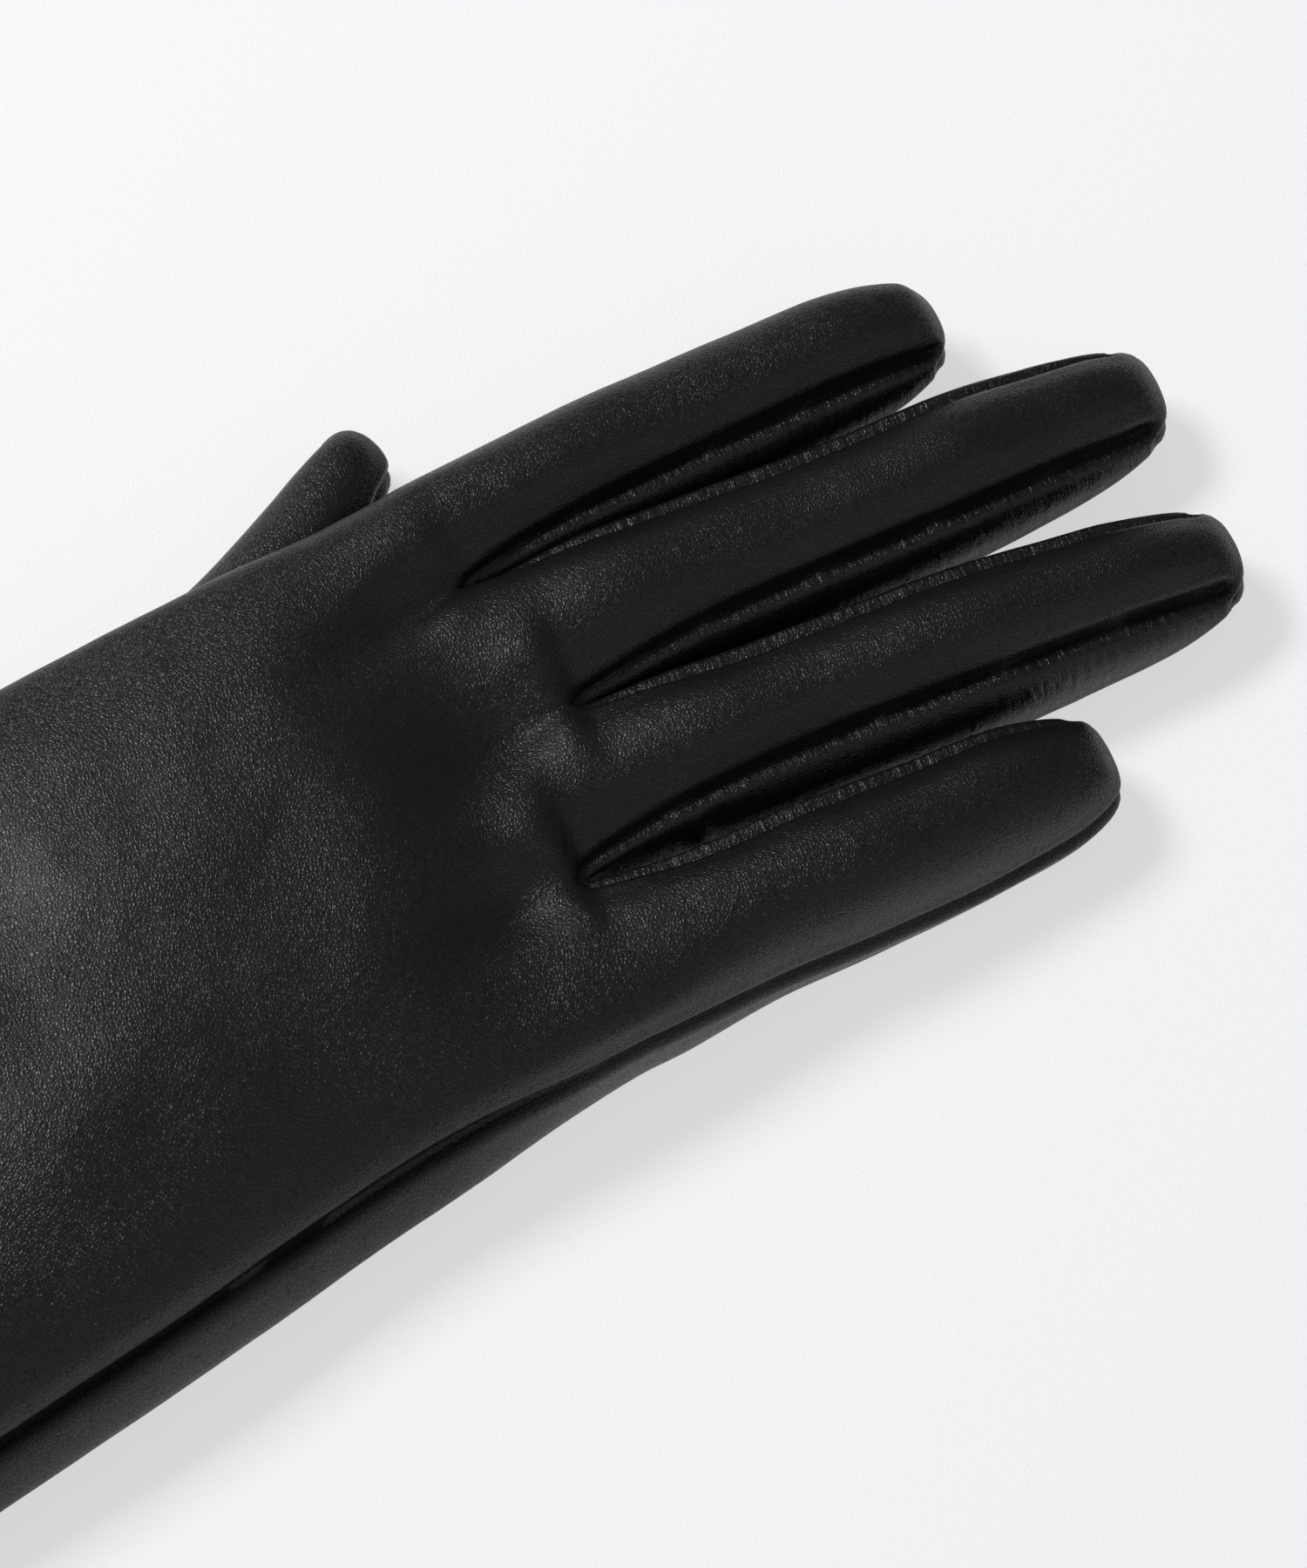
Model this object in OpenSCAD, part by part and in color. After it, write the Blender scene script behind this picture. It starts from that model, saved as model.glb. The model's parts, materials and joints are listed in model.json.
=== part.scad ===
// Right-hand leather dress glove, lying palm down, fingers along +X, thumb towards +Y.
// Origin: middle of the palm, on the surface that the glove lies on.
// Leather panels, seam threads and knitted linings are separate shells, and each finger
// is cut into segments that turn on horizontal axes at the palm-side leather.

/* [Hand] */
// Width across the palm
palm_w = 87; // [76:1:96]
// Width across the wrist
wrist_w = 92; // [80:1:102]
// Distance from the origin to the crotch between the middle and ring fingers
palm_l = 50; // [42:1:60]
// Height of the hand over the palm
hand_h = 25; // [20:1:30]
// Sideways lean of the hand from the fingers' direction, in degrees
hand_lean = 11; // [6:1:12]

/* [Cuff] */
// Distance from the origin back to the edge of the cuff
cuff_l = 104; // [84:1:126]
// Width across the cuff's edge
cuff_w = 97; // [84:1:108]
// Height of the cuff's edge
cuff_h = 23; // [18:1:28]
// Depth of the leather turned in at the cuff
hem_l = 14; // [8:1:20]
// Distance between two stitches in the hem
stitch_pitch = 4.4; // [3.5:0.1:8]
// Length of one stitch in the hem
stitch_l = 2.6; // [1.5:0.1:3]

/* [Fingers] */
// Length of the index finger from its crotch
index_l = 71; // [58:1:86]
// Length of the middle finger from its crotch
middle_l = 86; // [70:1:102]
// Length of the ring finger from its crotch
ring_l = 86; // [70:1:102]
// Length of the little finger from its crotch
little_l = 68; // [55:1:82]
// Width of the middle and ring fingers
finger_w = 19.4; // [16:0.1:23]
// Width of the index finger
index_w = 18; // [15:0.1:21]
// Width of the little finger
little_w = 18.4; // [15.5:0.1:21]
// Height of a finger at its root
finger_h = 18; // [15:0.5:21]
// Height of a finger just behind its tip
tip_h = 15; // [12:0.5:17]
// Space between two neighbouring fingers, at the palm
finger_space = 2.3; // [1.6:0.1:5]

/* [Thumb] */
// Length of the thumb from its first split
thumb_l = 59; // [48:1:66]
// Width of the thumb
thumb_w = 17; // [14:0.5:20]
// Height of the thumb
thumb_h = 13.5; // [12:0.5:14.5]
// Angle from the fingers' direction to the thumb, in degrees
thumb_angle = 22; // [18:1:27]

/* [Layers] */
// Thickness of the leather
leather_t = 0.8; // [0.6:0.1:1.2]
// Thickness of the knitted lining
lining_t = 0.7; // [0.5:0.1:1.2]
// Space between the leather and the lining
layer_gap = 0.15; // [0.1:0.05:0.3]
// Thickness of the sewing thread in a seam
seam_t = 0.4; // [0.3:0.1:0.6]
// Height of a fourchette, as a share of the finger's height
fourchette_share = 0.4; // [0.3:0.02:0.5]

/* [Joints] */
// Space between two segments where a finger bends
split_gap = 0.4; // [0.3:0.1:0.8]
// Distance from a crotch to the finger's first bend
root_split = 10; // [8:0.5:14]
// Place of the second bend, as a share of the finger's length
middle_share = 0.5; // [0.45:0.01:0.6]

/* [Hidden] */

// Points around one cross-section
ring_points = 20;
// Space kept between the thumb and the palm that lies over it
thumb_space = 1.2;

// Insets of the four surfaces: leather outside and inside, lining outside and inside
leather_in = leather_t;
lining_out = leather_t + layer_gap;
lining_in = lining_out + lining_t;

lean_slope = tan(hand_lean);

// One finger is [root x, root y, angle, length, root width, width, bow to +Y, outer side].
// Outer side: 1 has no fourchette on its +Y side, -1 none on its -Y side, 0 has both
finger_pitch = finger_w + finger_space;
root_w = finger_pitch - 1.9;
mid_y = finger_pitch / 2 + 13.1;
ring_y = mid_y - finger_pitch;
index_y = mid_y + (finger_pitch + index_w) / 2 - 2.35;
little_y = ring_y - (finger_pitch + little_w) / 2 - 2.5;
INDEX = [palm_l - 7, index_y, 4.8, index_l, index_w - 1.5, index_w, 0.8, 1];
MIDDLE = [palm_l, mid_y - 0.2, 2.5, middle_l, root_w, finger_w, 0.2, 0];
RING = [palm_l, ring_y, 0.3, ring_l, root_w, finger_w, 1.3, 0];
LITTLE = [palm_l - 8.5, little_y, 2.4, little_l, little_w + 2, little_w, 0, -1];

// Edges of the hand at the knuckles: the outer sides of the index and little fingers
knuckle_high = INDEX[1] + INDEX[4] / 2 - 0.9;
knuckle_low = LITTLE[1] - LITTLE[4] / 2 - 2;

// ---- cross-sections and lofts -------------------------------------------------------

// A section has a flat bottom, round lower corners and an arched top.
// s is [x, middle y, width, bottom z, top z, widest line over the bottom on the -Y side,
// the same on the +Y side, roundness of the top: 1 is an ellipse, less is squarer]
function corner(half, belly) = min(belly * 1.4, half * 0.85);

function ring(s) =
    let (half = s[2] / 2, quarter = ring_points / 4, right = corner(half, s[6]), left = corner(half, s[5]))
    concat(
        [for (k = [0 : quarter])
            let (a = -90 + 90 * k / quarter)
            [s[1] + half - right + right * cos(a), s[3] + s[6] + s[6] * sin(a)]],
        [for (k = [1 : 2 * quarter - 1])
            let (a = 180 * k / (2 * quarter), belly = a < 90 ? s[6] : s[5])
            [s[1] + half * sign(cos(a)) * pow(abs(cos(a)), s[7]),
             s[3] + belly + (s[4] - s[3] - belly) * pow(sin(a), s[7] + 0.06)]],
        [for (k = [0 : quarter])
            let (a = 180 + 90 * k / quarter)
            [s[1] - half + left + left * cos(a), s[3] + s[5] + s[5] * sin(a)]]);

// The same points in space, across the part's length
function placed_ring(s) = [for (p = ring(s)) [s[0], p[0], p[1]]];

// Walls between two rings of n points, closed by the two rings themselves
function loft_faces(n) = concat(
    [[for (k = [0 : n - 1]) k]],
    [[for (k = [0 : n - 1]) 2 * n - 1 - k]],
    [for (k = [0 : n - 1]) [k, n + k, n + (k + 1) % n, (k + 1) % n]]);

// Each stretch between two stations is convex, so its hull is the stretch itself
module loft(stations) {
    for (k = [0 : len(stations) - 2]) {
        a = placed_ring(stations[k]);
        b = placed_ring(stations[k + 1]);
        hull() polyhedron(concat(a, b), loft_faces(len(a)));
    }
}

// A station of the outer surface brought in by one inset
function inner(s, i) = [s[0], s[1], s[2] - 2 * i, s[3] + i, s[4] - i,
                        s[5] - 0.5 * i, s[6] - 0.5 * i, s[7]];

// ---- volumes ------------------------------------------------------------------------

knuckle_w = knuckle_high - knuckle_low;
knuckle_y = (knuckle_high + knuckle_low) / 2;

// Middle line of the hand: it leans away from the fingers towards the wrist
function hand_y(x) = (knuckle_high + knuckle_low) / 2 + 2 - (palm_l - x) * lean_slope;

// The index side of the hand is held up by the thumb under it
fold_z = 14;
side_z = 6.5;

CUFF = [cuff_w, 0, cuff_h, 9, 10, 0.9];

function cuff_station(x) = concat([x, hand_y(-cuff_l)], CUFF);

function hand_stations(i, extra) = [for (s = concat(
    extra > 0 ? [cuff_station(-cuff_l - extra)] : [],
    [
        cuff_station(-cuff_l),
        [-cuff_l + 28, hand_y(28 - cuff_l), (cuff_w + wrist_w) / 2, 0, cuff_h + 0.6, 8, 11, 0.85],
        [-50, hand_y(-50), wrist_w, 0, hand_h - 1, side_z, fold_z - 1, 0.8],
        [-14, hand_y(-14) + 0.4, palm_w, 0, hand_h, side_z, fold_z, 0.75],
        [palm_l - 30, (hand_y(palm_l - 30) + knuckle_y) / 2 - 1.7, (palm_w + knuckle_w) / 2, 0,
         hand_h - 1, side_z, fold_z, 0.72],
        [palm_l - 8.5, knuckle_y, knuckle_w, 0, finger_h + 3, side_z, fold_z - 3, 0.7],
    ])) inner(s, i)];

// The web behind the two middle fingers reaches further forward than the others
function web_stations(i) = [for (s = [
        [palm_l - 20, knuckle_y - 1, knuckle_w - 3, 0, finger_h + 4.5, 7, 7, 0.7],
        [palm_l - i * 0.5, mid_y - finger_pitch / 2, 2 * finger_pitch - 2.2, 0.3, finger_h + 0.2, 6, 6, 0.6],
    ]) inner(s, i)];

// Rounded end of a finger: stations along a quarter of an ellipse
function end_stations(x_end, reach, y, w, h, belly, i) =
    [for (a = [15, 42, 64, 80])
        let (c = pow(cos(a), 0.75), b = max((belly - 0.5 * i) * c, 0.3))
        [x_end - reach + (reach - i) * sin(a), y, (w - 2 * i) * c,
         i + (belly - i) * (1 - c), belly + (h - belly - i) * c, b, b, 0.75]];

// One finger in its own frame, root at x = 0, running back into the hand
function finger_stations(f, i) =
    let (l = f[3], w = f[5], bow = f[6], reach = 0.48 * w, outer = f[7] > 0 ? 9 : 5.5)
    concat(
        [for (s = [
            [-22, 0, f[4] - 3, 0, finger_h + 1.5, 5.5, outer, 0.7],
            [0, 0, f[4], 0, finger_h, 5.5, outer, 0.66],
            [0.25 * l, 0.7 * bow, 0.4 * f[4] + 0.6 * w, 0, 0.8 * finger_h + 0.2 * tip_h, 5.5, outer, 0.66],
            [0.6 * l, bow, w, 0, 0.4 * finger_h + 0.6 * tip_h, 5, outer - 1, 0.66],
            [l - reach, 0.2 * bow, w - 1.2, 0, tip_h, 4.8, 4.8, 0.7]]) inner(s, i)],
        end_stations(l, reach, 0, w - 1.2, tip_h, 4.8, i));

module at_finger(f) {
    translate([f[0], f[1], 0]) rotate([0, 0, f[2]]) children();
}

module finger_volume(f, i) {
    at_finger(f) loft(finger_stations(f, i));
}

// The thumb starts under the palm and lies beside the index side of the hand
thumb_x = palm_l - 62;
thumb_y = hand_y(thumb_x) + 0.405 * palm_w;
function thumb_stations(i, grow) =
    let (w = thumb_w + 2 * grow, h = thumb_h + 2 * grow, reach = 0.45 * thumb_w)
    concat(
        [for (s = [
            [-26, -1, w, 0, h, 4.5, 4.5, 0.7],
            [0, 0, w, 0, h, 4.5, 4.5, 0.7],
            [0.55 * thumb_l, 0.4, w - 0.5, 0, h - 0.5, 4.5, 4.5, 0.7],
            [thumb_l - reach, 0, w - 1.5, 0, h - 2, 4.5, 4.5, 0.7]]) inner(s, i)],
        end_stations(thumb_l + grow, reach, 0, w - 1.5, h - 2, 4.5, i));

module at_thumb() {
    translate([thumb_x, thumb_y, 0]) rotate([0, 0, thumb_angle]) children();
}

module thumb_volume(i, grow = 0) {
    at_thumb() loft(thumb_stations(i, grow));
}

// Room for the thumb under the palm, open outwards so that the thumb can swing out,
// and with upright walls so that its tip can bend down
module thumb_room(i) {
    intersection() {
        union() {
            hull() {
                thumb_volume(-i, thumb_space);
                translate([0, 0, -6]) thumb_volume(-i, thumb_space);
            }
            at_thumb() translate([-60, 0, -5]) cube([big, big, 5 + thumb_h + thumb_space + i]);
        }
        at_thumb() translate([split_gap / 2 - i, -big / 2, -5]) cube([big, big, 100]);
    }
}

// The hand with its finger roots; the palm is hollowed where the thumb lies under it.
// An open volume runs on into the fingers, the thumb and past the cuff
module hand_volume(i, extra, open) {
    difference() {
        union() {
            loft(hand_stations(i, extra));
            loft(web_stations(i));
            for (f = [INDEX, MIDDLE, RING, LITTLE]) {
                if (open) finger_volume(f, i);
                else intersection() {
                    finger_volume(f, i);
                    root_side(f);
                }
            }
        }
        thumb_room(i);
    }
    if (open) thumb_volume(i);
    else intersection() {
        thumb_volume(i);
        at_thumb() translate([-60, -40, -1]) cube([60 - split_gap / 2, 80, 60]);
    }
}

// ---- cutting spaces -----------------------------------------------------------------

big = 400;

function middle_x(f) = middle_share * f[3];

// Everything behind a finger's first bend
module root_side(f) {
    at_finger(f) translate([-big, -big / 2, -1]) cube([big + root_split - split_gap / 2, big, 80]);
}

// The finger's first segment, between its two bends
module base_side(f) {
    at_finger(f) translate([root_split + split_gap / 2, -20, -1])
        cube([middle_x(f) - root_split - split_gap, 40, 80]);
}

// The finger's second segment, from its second bend to the tip
module tip_side(f) {
    at_finger(f) translate([middle_x(f) + split_gap / 2, -20, -1]) cube([big, 40, 80]);
}

// A wedge that is low and high at the root and closes towards the tip
module band(f, z_low, z_high, side, spread = 0) {
    l = f[3];
    mid_z = tip_h * 0.42;
    at_finger(f) rotate([90, 0, 0]) linear_extrude(60, center = true) polygon([
        [-40, z_low - spread], [0.5 * l, z_low - spread + 0.3],
        [l - 4, mid_z - seam_t - spread], [l + 5, mid_z - seam_t - spread],
        [l + 5, mid_z + seam_t + spread], [l - 4, mid_z + seam_t + spread],
        [0.5 * l, z_high + spread - 0.8], [-40, z_high + spread]]);
}

z_low = finger_h * (0.5 - fourchette_share / 2) - 0.3;
z_high = finger_h * (0.5 + fourchette_share / 2) + 0.6;

// The half of the finger's space that holds a fourchette
module side_half(f, side) {
    at_finger(f) translate([-big / 2, side > 0 ? 0 : -60, -1]) cube([big, 60, 80]);
}

module shell(f, outer, inner_inset) {
    difference() {
        finger_volume(f, outer);
        finger_volume(f, inner_inset);
    }
}

// Space taken by the threads: a thin layer above and below the fourchettes
module thread_space(f) {
    difference() {
        band(f, z_low, z_high, 0, seam_t / 2);
        band(f, z_low, z_high, 0, -seam_t / 2);
    }
}

module fourchette_space(f) {
    band(f, z_low, z_high, 0, -seam_t / 2);
}

module over_space(f) {
    at_finger(f) rotate([90, 0, 0]) linear_extrude(60, center = true) polygon([
        [-40, z_high + seam_t / 2], [0.5 * f[3], z_high + seam_t / 2 - 0.8],
        [f[3] - 4, tip_h * 0.42 + 1.5 * seam_t], [f[3] + 5, tip_h * 0.42 + 1.5 * seam_t],
        [f[3] + 5, 60], [-40, 60]]);
}

module under_space(f) {
    at_finger(f) rotate([90, 0, 0]) linear_extrude(60, center = true) polygon([
        [-40, z_low - seam_t / 2], [0.5 * f[3], z_low - seam_t / 2 + 0.3],
        [f[3] - 4, tip_h * 0.42 - 1.5 * seam_t], [f[3] + 5, tip_h * 0.42 - 1.5 * seam_t],
        [f[3] + 5, -5], [-40, -5]]);
}

module segment(f, tip) {
    if (tip) tip_side(f);
    else base_side(f);
}

// ---- finger nodes -------------------------------------------------------------------

module finger_back(f, tip) {
    intersection() {
        shell(f, 0, leather_in);
        over_space(f);
        segment(f, tip);
    }
}

module finger_palm(f, tip) {
    intersection() {
        shell(f, 0, leather_in);
        under_space(f);
        segment(f, tip);
    }
}

module finger_fourchettes(f, tip) {
    intersection() {
        shell(f, 0, leather_in);
        fourchette_space(f);
        segment(f, tip);
        if (f[7] != 0) side_half(f, -f[7]);
    }
}

module finger_threads(f, tip) {
    intersection() {
        shell(f, 0, leather_in);
        thread_space(f);
        segment(f, tip);
        if (f[7] > 0) side_half(f, -1);
    }
}

module finger_lining(f, tip) {
    intersection() {
        shell(f, lining_out, lining_in);
        segment(f, tip);
    }
}

// The index finger's leather folds over its outer side without a seam
module folded_finger(f, tip) {
    intersection() {
        shell(f, 0, leather_in);
        segment(f, tip);
        union() {
            over_space(f);
            under_space(f);
            side_half(f, 1);
        }
    }
}

module index_trank_base() { color("#232324") folded_finger(INDEX, false); }
module index_trank_tip() { color("#232324") folded_finger(INDEX, true); }
module index_fourchette_base() { color("#1c1c1d") finger_fourchettes(INDEX, false); }
module index_fourchette_tip() { color("#1c1c1d") finger_fourchettes(INDEX, true); }
module index_seam_thread_base() { color("#101011") finger_threads(INDEX, false); }
module index_seam_thread_tip() { color("#101011") finger_threads(INDEX, true); }
module index_lining_base() { color("#2c2b2d") finger_lining(INDEX, false); }
module index_lining_tip() { color("#2c2b2d") finger_lining(INDEX, true); }

module middle_back_base() { color("#232324") finger_back(MIDDLE, false); }
module middle_back_tip() { color("#232324") finger_back(MIDDLE, true); }
module middle_palm_base() { color("#232324") finger_palm(MIDDLE, false); }
module middle_palm_tip() { color("#232324") finger_palm(MIDDLE, true); }
module middle_fourchettes_base() { color("#1c1c1d") finger_fourchettes(MIDDLE, false); }
module middle_fourchettes_tip() { color("#1c1c1d") finger_fourchettes(MIDDLE, true); }
module middle_seam_thread_base() { color("#101011") finger_threads(MIDDLE, false); }
module middle_seam_thread_tip() { color("#101011") finger_threads(MIDDLE, true); }
module middle_lining_base() { color("#2c2b2d") finger_lining(MIDDLE, false); }
module middle_lining_tip() { color("#2c2b2d") finger_lining(MIDDLE, true); }

module ring_back_base() { color("#232324") finger_back(RING, false); }
module ring_back_tip() { color("#232324") finger_back(RING, true); }
module ring_palm_base() { color("#232324") finger_palm(RING, false); }
module ring_palm_tip() { color("#232324") finger_palm(RING, true); }
module ring_fourchettes_base() { color("#1c1c1d") finger_fourchettes(RING, false); }
module ring_fourchettes_tip() { color("#1c1c1d") finger_fourchettes(RING, true); }
module ring_seam_thread_base() { color("#101011") finger_threads(RING, false); }
module ring_seam_thread_tip() { color("#101011") finger_threads(RING, true); }
module ring_lining_base() { color("#2c2b2d") finger_lining(RING, false); }
module ring_lining_tip() { color("#2c2b2d") finger_lining(RING, true); }

// The little finger's outer side has one seam, in line with the hand's side seam
side_seam_z = 10.5;

module above_side_seam() {
    translate([-big, -big, side_seam_z + seam_t / 2]) cube([2 * big, 2 * big, 80]);
}

module below_side_seam() {
    translate([-big, -big, side_seam_z - seam_t / 2 - 80]) cube([2 * big, 2 * big, 80]);
}

module side_seam_layer() {
    translate([-big, -big, side_seam_z - seam_t / 2]) cube([2 * big, 2 * big, seam_t]);
}

module little_panel(tip, above) {
    intersection() {
        shell(LITTLE, 0, leather_in);
        segment(LITTLE, tip);
        union() {
            intersection() {
                if (above) over_space(LITTLE);
                else under_space(LITTLE);
                side_half(LITTLE, 1);
            }
            intersection() {
                if (above) above_side_seam();
                else below_side_seam();
                side_half(LITTLE, -1);
            }
        }
    }
}

module little_threads(tip) {
    intersection() {
        shell(LITTLE, 0, leather_in);
        segment(LITTLE, tip);
        union() {
            intersection() {
                thread_space(LITTLE);
                side_half(LITTLE, 1);
            }
            intersection() {
                side_seam_layer();
                side_half(LITTLE, -1);
            }
        }
    }
}

module little_back_base() { color("#232324") little_panel(false, true); }
module little_back_tip() { color("#232324") little_panel(true, true); }
module little_palm_base() { color("#232324") little_panel(false, false); }
module little_palm_tip() { color("#232324") little_panel(true, false); }
module little_fourchette_base() { color("#1c1c1d") finger_fourchettes(LITTLE, false); }
module little_fourchette_tip() { color("#1c1c1d") finger_fourchettes(LITTLE, true); }
module little_seam_thread_base() { color("#101011") little_threads(false); }
module little_seam_thread_tip() { color("#101011") little_threads(true); }
module little_lining_base() { color("#2c2b2d") finger_lining(LITTLE, false); }
module little_lining_tip() { color("#2c2b2d") finger_lining(LITTLE, true); }

// ---- thumb nodes --------------------------------------------------------------------

thumb_seam_z = thumb_h * 0.42;
thumb_middle_x = 0.5 * thumb_l;

module thumb_segment(tip) {
    x0 = tip ? thumb_middle_x + split_gap / 2 : split_gap / 2;
    x1 = tip ? thumb_l + 10 : thumb_middle_x - split_gap / 2;
    at_thumb() translate([x0, -30, -1]) cube([x1 - x0, 60, 60]);
}

// The thumb's one seam runs along the side next to the palm and round the tip
module thumb_seam_layer() {
    at_thumb() translate([-40, -30, thumb_seam_z - seam_t / 2]) cube([40 + thumb_l - 8, 30, seam_t]);
    at_thumb() translate([thumb_l - 8, -30, thumb_seam_z - seam_t / 2]) cube([20, 60, seam_t]);
}

module thumb_shell(outer, inner_inset) {
    difference() {
        thumb_volume(outer);
        thumb_volume(inner_inset);
    }
}

module thumb_leather(tip) {
    difference() {
        intersection() {
            thumb_shell(0, leather_in);
            thumb_segment(tip);
        }
        thumb_seam_layer();
    }
}

module thumb_thread(tip) {
    intersection() {
        thumb_shell(0, leather_in);
        thumb_segment(tip);
        thumb_seam_layer();
    }
}

module thumb_lining(tip) {
    intersection() {
        thumb_shell(lining_out, lining_in);
        thumb_segment(tip);
    }
}

module thumb_leather_base() { color("#232324") thumb_leather(false); }
module thumb_leather_tip() { color("#232324") thumb_leather(true); }
module thumb_seam_thread_base() { color("#101011") thumb_thread(false); }
module thumb_seam_thread_tip() { color("#101011") thumb_thread(true); }
module thumb_lining_base() { color("#2c2b2d") thumb_lining(false); }
module thumb_lining_tip() { color("#2c2b2d") thumb_lining(true); }

// ---- hand nodes ---------------------------------------------------------------------

module hand_shell(outer, inner_inset) {
    difference() {
        hand_volume(outer, 0, false);
        hand_volume(inner_inset, 5, true);
    }
}

// Space between two fingers' middle lines, at fourchette height, round their crotch
module fork_space(upper, lower, back) {
    difference() {
        intersection() {
            translate([upper[0] - back, -big / 2, z_low]) cube([60, big, z_high - z_low]);
            side_half(upper, -1);
            side_half(lower, 1);
        }
        children();
    }
}

module fork(upper, lower) {
    intersection() {
        hand_shell(0, leather_in);
        fork_space(upper, lower, 14);
    }
}

module gusset_space() {
    intersection() {
        thumb_volume(-0.4);
        at_thumb() translate([-20, -40, -1]) cube([20 + split_gap, 80, 60]);
    }
}

module trank() {
    color("#232324") difference() {
        hand_shell(0, leather_in);
        fork_space(INDEX, MIDDLE, 14);
        fork_space(MIDDLE, RING, 14);
        fork_space(RING, LITTLE, 14);
        gusset_space();
        side_seam_space(seam_t / 2);
    }
}

// The seam that closes the trank runs along the little finger's side of the hand
module side_seam_space(half) {
    translate([-big, -big, side_seam_z - half])
        cube([big + palm_l + 30, big + LITTLE[1] - 5, 2 * half]);
}

module side_seam_thread() {
    color("#101011") intersection() {
        hand_shell(0, leather_in);
        side_seam_space(seam_t / 2);
    }
}

module thumb_gusset() {
    color("#1c1c1d") intersection() {
        hand_shell(0, leather_in);
        gusset_space();
    }
}

module index_middle_fork() { color("#1c1c1d") fork(INDEX, MIDDLE); }
module middle_ring_fork() { color("#1c1c1d") fork(MIDDLE, RING); }
module ring_little_fork() { color("#1c1c1d") fork(RING, LITTLE); }

module cuff_space(x0, x1) {
    translate([-cuff_l + x0, -big / 2, -1]) cube([x1 - x0, big, 60]);
}

// The lining is sewn to the inner edge of the turned-in leather
module hand_lining() {
    color("#2c2b2d") difference() {
        hand_shell(lining_out, lining_in);
        cuff_space(-10, hem_l + 0.2);
    }
}

module cuff_hem() {
    color("#232324") intersection() {
        hand_shell(leather_in + 0.05, 2 * leather_in + 0.05);
        cuff_space(0, hem_l);
    }
}

// A row of stitches goes across the back of the cuff, over the edge of the hem
module cuff_stitching() {
    count = floor((cuff_w - 24) / stitch_pitch);
    y_middle = hand_y(-cuff_l + hem_l - 2);
    color("#101011") intersection() {
        difference() {
            loft(hand_stations(-0.3, 0));
            loft(hand_stations(0, 0));
        }
        union() {
            for (k = [0 : count])
                translate([-cuff_l + hem_l - 2, y_middle + (k - count / 2) * stitch_pitch - stitch_l / 2, 12])
                    cube([0.7, stitch_l, 40]);
        }
    }
}

module size_label() {
    color("#d8d6d0") intersection() {
        difference() {
            hand_volume(lining_in, 5, true);
            hand_volume(lining_in + 0.4, 8, true);
        }
        translate([-cuff_l + hem_l + 8, hand_y(-cuff_l + hem_l + 8) - 9, 12]) cube([12, 18, 40]);
    }
}

// ---- the model ----------------------------------------------------------------------
trank();
thumb_gusset();
side_seam_thread();
hand_lining();
cuff_hem();
cuff_stitching();
size_label();
index_middle_fork();
middle_ring_fork();
ring_little_fork();
index_trank_base();
index_trank_tip();
index_fourchette_base();
index_fourchette_tip();
index_seam_thread_base();
index_seam_thread_tip();
index_lining_base();
index_lining_tip();
middle_back_base();
middle_back_tip();
middle_palm_base();
middle_palm_tip();
middle_fourchettes_base();
middle_fourchettes_tip();
middle_seam_thread_base();
middle_seam_thread_tip();
middle_lining_base();
middle_lining_tip();
ring_back_base();
ring_back_tip();
ring_palm_base();
ring_palm_tip();
ring_fourchettes_base();
ring_fourchettes_tip();
ring_seam_thread_base();
ring_seam_thread_tip();
ring_lining_base();
ring_lining_tip();
little_back_base();
little_back_tip();
little_palm_base();
little_palm_tip();
little_fourchette_base();
little_fourchette_tip();
little_seam_thread_base();
little_seam_thread_tip();
little_lining_base();
little_lining_tip();
thumb_leather_base();
thumb_leather_tip();
thumb_seam_thread_base();
thumb_seam_thread_tip();
thumb_lining_base();
thumb_lining_tip();
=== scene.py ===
"""Leather dress glove for the right hand, lying palm down on a pale floor."""

import json
import math

import bmesh
import bpy
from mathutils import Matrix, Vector, kdtree, noise


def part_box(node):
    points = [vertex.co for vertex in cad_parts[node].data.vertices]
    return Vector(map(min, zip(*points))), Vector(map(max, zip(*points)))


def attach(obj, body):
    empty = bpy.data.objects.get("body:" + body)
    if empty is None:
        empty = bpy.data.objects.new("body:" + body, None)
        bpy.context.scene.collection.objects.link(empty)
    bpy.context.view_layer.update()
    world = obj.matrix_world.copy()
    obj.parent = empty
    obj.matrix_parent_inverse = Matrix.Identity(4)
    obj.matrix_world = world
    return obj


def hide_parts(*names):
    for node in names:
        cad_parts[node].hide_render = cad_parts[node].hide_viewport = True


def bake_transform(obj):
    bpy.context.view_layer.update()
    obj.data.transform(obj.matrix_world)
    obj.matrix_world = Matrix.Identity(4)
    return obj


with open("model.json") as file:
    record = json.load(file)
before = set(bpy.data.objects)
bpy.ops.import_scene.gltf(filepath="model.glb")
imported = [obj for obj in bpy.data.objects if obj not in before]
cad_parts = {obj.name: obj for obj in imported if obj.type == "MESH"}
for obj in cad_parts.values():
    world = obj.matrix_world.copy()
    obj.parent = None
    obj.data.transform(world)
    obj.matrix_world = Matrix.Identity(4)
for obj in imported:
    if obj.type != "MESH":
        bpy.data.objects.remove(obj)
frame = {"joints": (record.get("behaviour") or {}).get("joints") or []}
bpy.context.view_layer.update()

MM = 0.001
JOINTS = {j["name"]: j for j in frame["joints"]}

# ---- sizes, in millimetres ----------------------------------------------------------

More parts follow.
